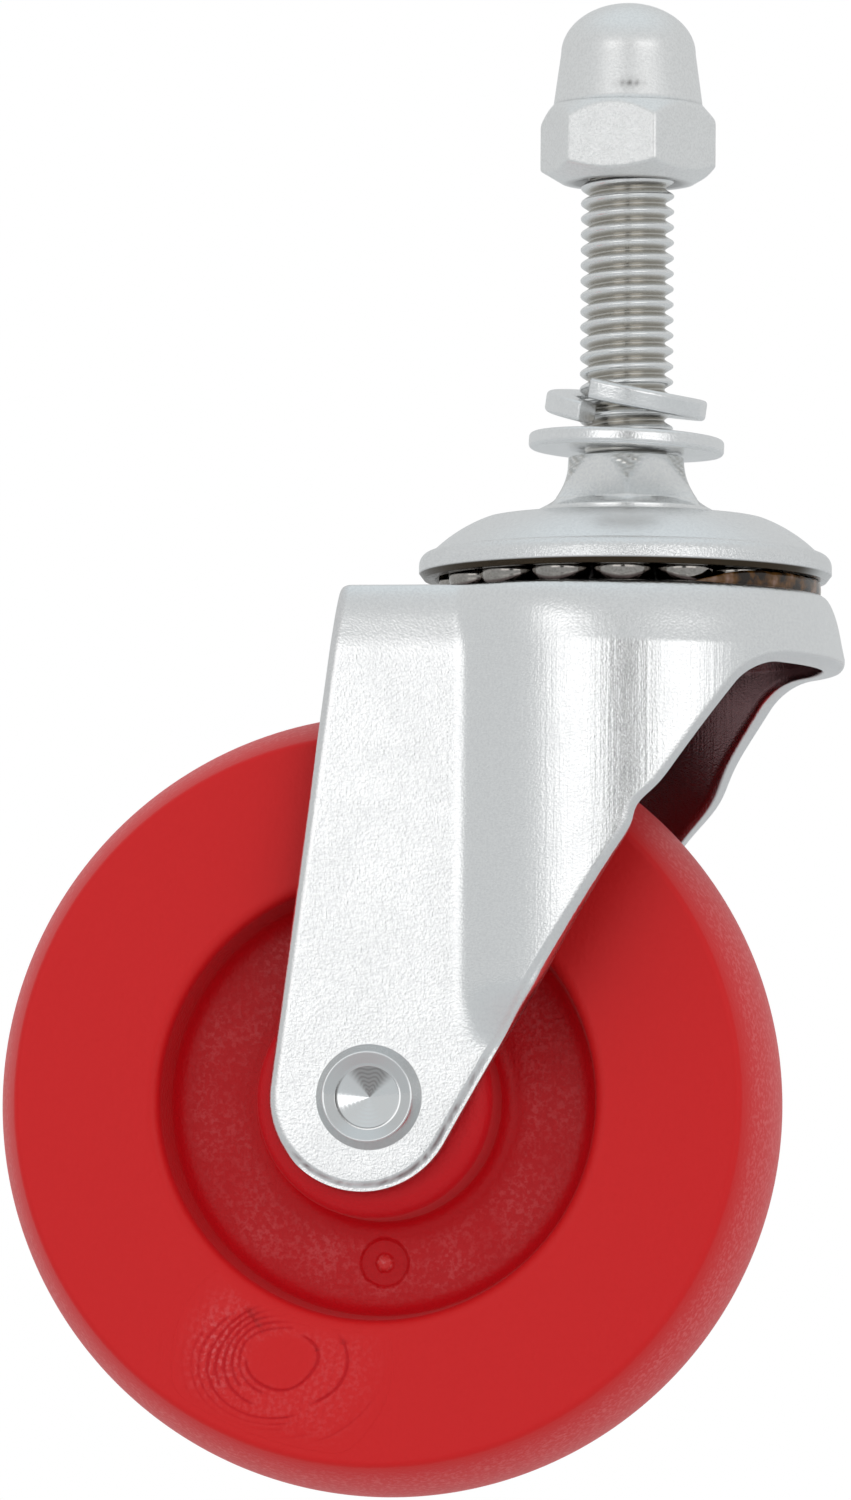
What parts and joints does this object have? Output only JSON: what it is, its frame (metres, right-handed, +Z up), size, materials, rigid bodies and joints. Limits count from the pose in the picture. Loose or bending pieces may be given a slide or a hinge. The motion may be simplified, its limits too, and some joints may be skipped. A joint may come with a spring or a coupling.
{
  "type": "swivel castor",
  "caption": "Swivel castor for a stool: red moulded wheel in a pressed zinc-plated fork, ball-race swivel under a domed cap, threaded stem with washers and a domed nut.",
  "frame": {"origin": "on the swivel axis, at the shoulder of the hexagonal neck where the thread starts", "axes": "+Z up the stem, the wheel trails towards -X, +Y along the axle"},
  "size_m": [0.0857, 0.0446, 0.1524],
  "materials": {
    "zinc": "bright zinc plate",
    "dull_zinc": "dull zinc plate",
    "ball_steel": "polished, greased",
    "red_plastic": "moulded, finely grained"
  },
  "bodies": {
    "stem": {"threaded_stem": "zinc", "bearing_cap": "zinc", "lower_race_cup": "zinc", "flat_washer": "zinc", "lock_washer": "zinc", "cap_nut": "dull_zinc"},
    "fork": {"fork": "zinc", "axle_rivet": "zinc", "axle_sleeve": "dull_zinc"},
    "wheel": {"wheel": "red_plastic"},
    "upper_balls": {"upper_ball_1": "ball_steel", "upper_ball_2": "ball_steel", "upper_ball_3": "ball_steel", "upper_ball_4": "ball_steel", "upper_ball_5": "ball_steel", "upper_ball_6": "ball_steel", "upper_ball_7": "ball_steel", "upper_ball_8": "ball_steel", "upper_ball_9": "ball_steel", "upper_ball_10": "ball_steel", "upper_ball_11": "ball_steel", "upper_ball_12": "ball_steel", "upper_ball_13": "ball_steel", "upper_ball_14": "ball_steel", "upper_ball_15": "ball_steel", "upper_ball_16": "ball_steel"},
    "lower_balls": {"lower_ball_1": "ball_steel", "lower_ball_2": "ball_steel", "lower_ball_3": "ball_steel", "lower_ball_4": "ball_steel", "lower_ball_5": "ball_steel", "lower_ball_6": "ball_steel", "lower_ball_7": "ball_steel", "lower_ball_8": "ball_steel", "lower_ball_9": "ball_steel", "lower_ball_10": "ball_steel", "lower_ball_11": "ball_steel", "lower_ball_12": "ball_steel", "lower_ball_13": "ball_steel"}
  },
  "joints": [
    {"name": "swivel", "type": "hinge", "parent": "stem", "child": "fork", "pos_m": [0, 0, 0], "axis": [0, 0, 1], "continuous": true},
    {"name": "wheel_roll", "type": "hinge", "parent": "fork", "child": "wheel", "pos_m": [-0.02355, 0, -0.06602], "axis": [0, 1, 0], "continuous": true},
    {"name": "upper_balls_orbit", "type": "hinge", "parent": "stem", "child": "upper_balls", "pos_m": [0, 0, 0], "axis": [0, 0, 1], "continuous": true},
    {"name": "lower_balls_orbit", "type": "hinge", "parent": "stem", "child": "lower_balls", "pos_m": [0, 0, 0], "axis": [0, 0, 1], "continuous": true}
  ],
  "couplings": [
    {"joint": "upper_balls_orbit", "follows": "swivel", "ratio": 0.5},
    {"joint": "lower_balls_orbit", "follows": "swivel", "ratio": 0.5}
  ]
}
